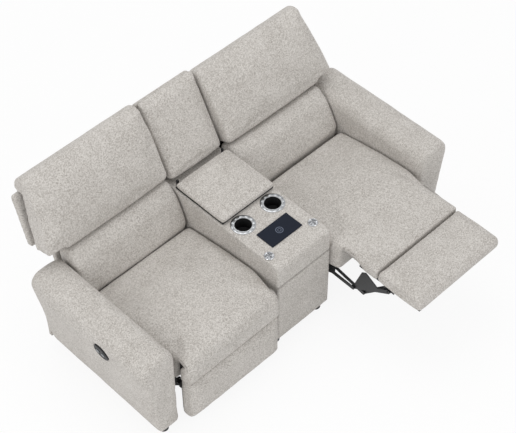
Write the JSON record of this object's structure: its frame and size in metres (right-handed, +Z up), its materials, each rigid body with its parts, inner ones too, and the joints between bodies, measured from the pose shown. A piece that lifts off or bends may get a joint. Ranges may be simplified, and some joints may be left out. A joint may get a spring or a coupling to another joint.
{
  "type": "reclining loveseat",
  "caption": "Wide upholstered loveseat with powered footrests, reclining backs, and a storage console with cup holders and a charging pad.",
  "frame": {"origin": "centre of the footprint at floor level, with the right footrest out", "axes": "+Z up, the seats face -Y, +X to the sitter's left, which is the right-hand side seen from the front"},
  "size_m": [1.9602, 1.478, 0.9887],
  "materials": {
    "woven_fabric": "heathered chenille weave, matte",
    "black_steel": "black powder coat, satin",
    "zinc_metal": "cast and plated, satin",
    "stainless_cup": "spun and polished",
    "chrome_cap": "bright plated",
    "slate_pad": "fine matt texture",
    "black_plastic": "moulded, fine grain",
    "plywood": "sanded plywood"
  },
  "bodies": {
    "base": {"left_arm_cover": "woven_fabric", "right_arm_cover": "woven_fabric", "arm_frames": "plywood", "console_cover": "woven_fabric", "storage_bin": "black_plastic", "lid_hinge_brackets": "black_steel", "cup_holders": "stainless_cup", "charging_pad_frame": "black_plastic", "charging_pad": "slate_pad", "accessory_caps": "chrome_cap", "middle_back_cushion": "woven_fabric", "middle_back_panel": "woven_fabric", "rear_rail": "plywood", "cross_tubes": "black_steel", "feet": "black_plastic", "mechanism_rails": "black_steel", "switch_bezels": "black_plastic", "power_inlet": "black_plastic"},
    "console_lid": {"lid_board": "black_plastic", "lid_cushion": "woven_fabric"},
    "left_open_button": {"left_open_button": "zinc_metal"},
    "left_close_button": {"left_close_button": "zinc_metal"},
    "right_open_button": {"right_open_button": "zinc_metal"},
    "right_close_button": {"right_close_button": "zinc_metal"},
    "left_front_carriers": {"left_front_swing_links": "black_steel"},
    "left_rear_carriers": {"left_rear_swing_links": "black_steel"},
    "left_seat": {"left_seat_cushion": "woven_fabric", "left_seat_deck": "black_steel", "left_side_plates": "black_steel", "left_actuator": "black_plastic"},
    "left_drive_nut": {"left_actuator_nut": "zinc_metal"},
    "left_footrest": {"left_flap_cushion": "woven_fabric", "left_footrest_cushion": "woven_fabric", "left_footrest_frame": "black_steel"},
    "left_rear_lift": {"left_rear_lift_links": "black_steel"},
    "left_rear_reach": {"left_reach_plates": "black_steel"},
    "left_front_lift": {"left_front_lift_links": "black_steel"},
    "left_front_reach": {"left_reach_links": "black_steel"},
    "left_back": {"left_back_frame": "black_steel", "left_lumbar_cushion": "woven_fabric", "left_head_cushion": "woven_fabric", "left_back_panel": "woven_fabric"},
    "right_front_carriers": {"right_front_swing_links": "black_steel"},
    "right_rear_carriers": {"right_rear_swing_links": "black_steel"},
    "right_seat": {"right_seat_cushion": "woven_fabric", "right_seat_deck": "black_steel", "right_side_plates": "black_steel", "right_actuator": "black_plastic"},
    "right_drive_nut": {"right_actuator_nut": "zinc_metal"},
    "right_footrest": {"right_flap_cushion": "woven_fabric", "right_footrest_cushion": "woven_fabric", "right_footrest_frame": "black_steel"},
    "right_rear_lift": {"right_rear_lift_links": "black_steel"},
    "right_rear_reach": {"right_reach_plates": "black_steel"},
    "right_front_lift": {"right_front_lift_links": "black_steel"},
    "right_front_reach": {"right_reach_links": "black_steel"},
    "right_back": {"right_back_frame": "black_steel", "right_lumbar_cushion": "woven_fabric", "right_head_cushion": "woven_fabric", "right_back_panel": "woven_fabric"}
  },
  "joints": [
    {"name": "console_lid_hinge", "type": "hinge", "parent": "base", "child": "console_lid", "pos_m": [0, 0.47113, 0.62], "axis": [-1, 0, 0], "range_deg": [0, 80]},
    {"name": "left_open_button_press", "type": "slide", "parent": "base", "child": "left_open_button", "axis": [0.9871, 0, 0.1599], "range_m": [0, 0.002], "stiffness_N_per_m": 400, "springref_m": -0.002},
    {"name": "left_close_button_press", "type": "slide", "parent": "base", "child": "left_close_button", "axis": [0.9871, 0, 0.1599], "range_m": [0, 0.002], "stiffness_N_per_m": 400, "springref_m": -0.002},
    {"name": "right_open_button_press", "type": "slide", "parent": "base", "child": "right_open_button", "axis": [-0.9871, 0, 0.1599], "range_m": [0, 0.002], "stiffness_N_per_m": 400, "springref_m": -0.002},
    {"name": "right_close_button_press", "type": "slide", "parent": "base", "child": "right_close_button", "axis": [-0.9871, 0, 0.1599], "range_m": [0, 0.002], "stiffness_N_per_m": 400, "springref_m": -0.002},
    {"name": "left_front_carrier_swing", "type": "hinge", "parent": "base", "child": "left_front_carriers", "pos_m": [-0.479, 0.03713, 0.11], "axis": [1, 0, 0], "range_deg": [0, 30]},
    {"name": "left_seat_level", "type": "hinge", "parent": "left_front_carriers", "child": "left_seat", "pos_m": [-0.479, 0.07466, 0.25006], "axis": [1, 0, 0], "range_deg": [-30, 0]},
    {"name": "left_rear_carrier_swing", "type": "hinge", "parent": "base", "child": "left_rear_carriers", "pos_m": [-0.479, 0.27713, 0.11], "axis": [1, 0, 0], "range_deg": [0, 30]},
    {"name": "left_footrest_turn", "type": "hinge", "parent": "left_seat", "child": "left_footrest", "pos_m": [-0.479, -0.25287, 0.47], "axis": [-1, 0, 0], "range_deg": [0, 90]},
    {"name": "left_rear_lift_turn", "type": "hinge", "parent": "left_seat", "child": "left_rear_lift", "pos_m": [-0.479, -0.07287, 0.25], "axis": [-1, 0, 0], "range_deg": [0, 112.95]},
    {"name": "left_rear_reach_turn", "type": "hinge", "parent": "left_rear_lift", "child": "left_rear_reach", "pos_m": [-0.479, 0.00753, 0.07785], "axis": [-1, 0, 0], "range_deg": [-123.21, 0]},
    {"name": "left_front_lift_turn", "type": "hinge", "parent": "left_seat", "child": "left_front_lift", "pos_m": [-0.479, -0.13787, 0.27], "axis": [-1, 0, 0], "range_deg": [0, 105.99]},
    {"name": "left_front_reach_turn", "type": "hinge", "parent": "left_front_lift", "child": "left_front_reach", "pos_m": [-0.479, -0.05714, 0.10912], "axis": [-1, 0, 0], "range_deg": [-113.75, 0]},
    {"name": "left_drive_nut_run", "type": "slide", "parent": "left_seat", "child": "left_drive_nut", "axis": [0, -1, 0], "range_m": [0, 0.11]},
    {"name": "left_back_recline", "type": "hinge", "parent": "left_seat", "child": "left_back", "pos_m": [-0.479, 0.41713, 0.31], "axis": [-1, 0, 0], "range_deg": [0, 32]},
    {"name": "right_front_carrier_swing", "type": "hinge", "parent": "base", "child": "right_front_carriers", "pos_m": [0.479, 0.03713, 0.11], "axis": [1, 0, 0], "range_deg": [-30, 0]},
    {"name": "right_seat_level", "type": "hinge", "parent": "right_front_carriers", "child": "right_seat", "pos_m": [0.479, -0.0004, 0.25006], "axis": [1, 0, 0], "range_deg": [0, 30]},
    {"name": "right_rear_carrier_swing", "type": "hinge", "parent": "base", "child": "right_rear_carriers", "pos_m": [0.479, 0.27713, 0.11], "axis": [1, 0, 0], "range_deg": [-30, 0]},
    {"name": "right_footrest_turn", "type": "hinge", "parent": "right_seat", "child": "right_footrest", "pos_m": [0.479, -0.32793, 0.47], "axis": [-1, 0, 0], "range_deg": [-90, 0]},
    {"name": "right_rear_lift_turn", "type": "hinge", "parent": "right_seat", "child": "right_rear_lift", "pos_m": [0.479, -0.14793, 0.25], "axis": [-1, 0, 0], "range_deg": [-112.95, 0]},
    {"name": "right_rear_reach_turn", "type": "hinge", "parent": "right_rear_lift", "child": "right_rear_reach", "pos_m": [0.479, -0.3378, 0.24309], "axis": [-1, 0, 0], "range_deg": [0, 123.21]},
    {"name": "right_front_lift_turn", "type": "hinge", "parent": "right_seat", "child": "right_front_lift", "pos_m": [0.479, -0.21293, 0.27], "axis": [-1, 0, 0], "range_deg": [-105.99, 0]},
    {"name": "right_front_reach_turn", "type": "hinge", "parent": "right_front_lift", "child": "right_front_reach", "pos_m": [0.479, -0.38983, 0.23672], "axis": [-1, 0, 0], "range_deg": [0, 113.75]},
    {"name": "right_drive_nut_run", "type": "slide", "parent": "right_seat", "child": "right_drive_nut", "axis": [0, -1, 0], "range_m": [-0.11, 0]},
    {"name": "right_back_recline", "type": "hinge", "parent": "right_seat", "child": "right_back", "pos_m": [0.479, 0.34207, 0.31], "axis": [-1, 0, 0], "range_deg": [-7, 25]}
  ],
  "couplings": [
    {"joint": "left_front_carrier_swing", "follows": "left_footrest_turn", "ratio": 0.33333},
    {"joint": "left_seat_level", "follows": "left_footrest_turn", "ratio": -0.33333},
    {"joint": "left_rear_carrier_swing", "follows": "left_footrest_turn", "ratio": 0.33333},
    {"joint": "left_rear_lift_turn", "follows": "left_footrest_turn", "ratio": 1.255},
    {"joint": "left_rear_reach_turn", "follows": "left_footrest_turn", "ratio": -1.369},
    {"joint": "left_front_lift_turn", "follows": "left_footrest_turn", "ratio": 1.1777},
    {"joint": "left_front_reach_turn", "follows": "left_footrest_turn", "ratio": -1.2639},
    {"joint": "left_drive_nut_run", "follows": "left_footrest_turn", "m_per_rad": 0.070028},
    {"joint": "right_front_carrier_swing", "follows": "right_footrest_turn", "ratio": 0.33333},
    {"joint": "right_seat_level", "follows": "right_footrest_turn", "ratio": -0.33333},
    {"joint": "right_rear_carrier_swing", "follows": "right_footrest_turn", "ratio": 0.33333},
    {"joint": "right_rear_lift_turn", "follows": "right_footrest_turn", "ratio": 1.255},
    {"joint": "right_rear_reach_turn", "follows": "right_footrest_turn", "ratio": -1.369},
    {"joint": "right_front_lift_turn", "follows": "right_footrest_turn", "ratio": 1.1777},
    {"joint": "right_front_reach_turn", "follows": "right_footrest_turn", "ratio": -1.2639},
    {"joint": "right_drive_nut_run", "follows": "right_footrest_turn", "m_per_rad": 0.070028}
  ]
}
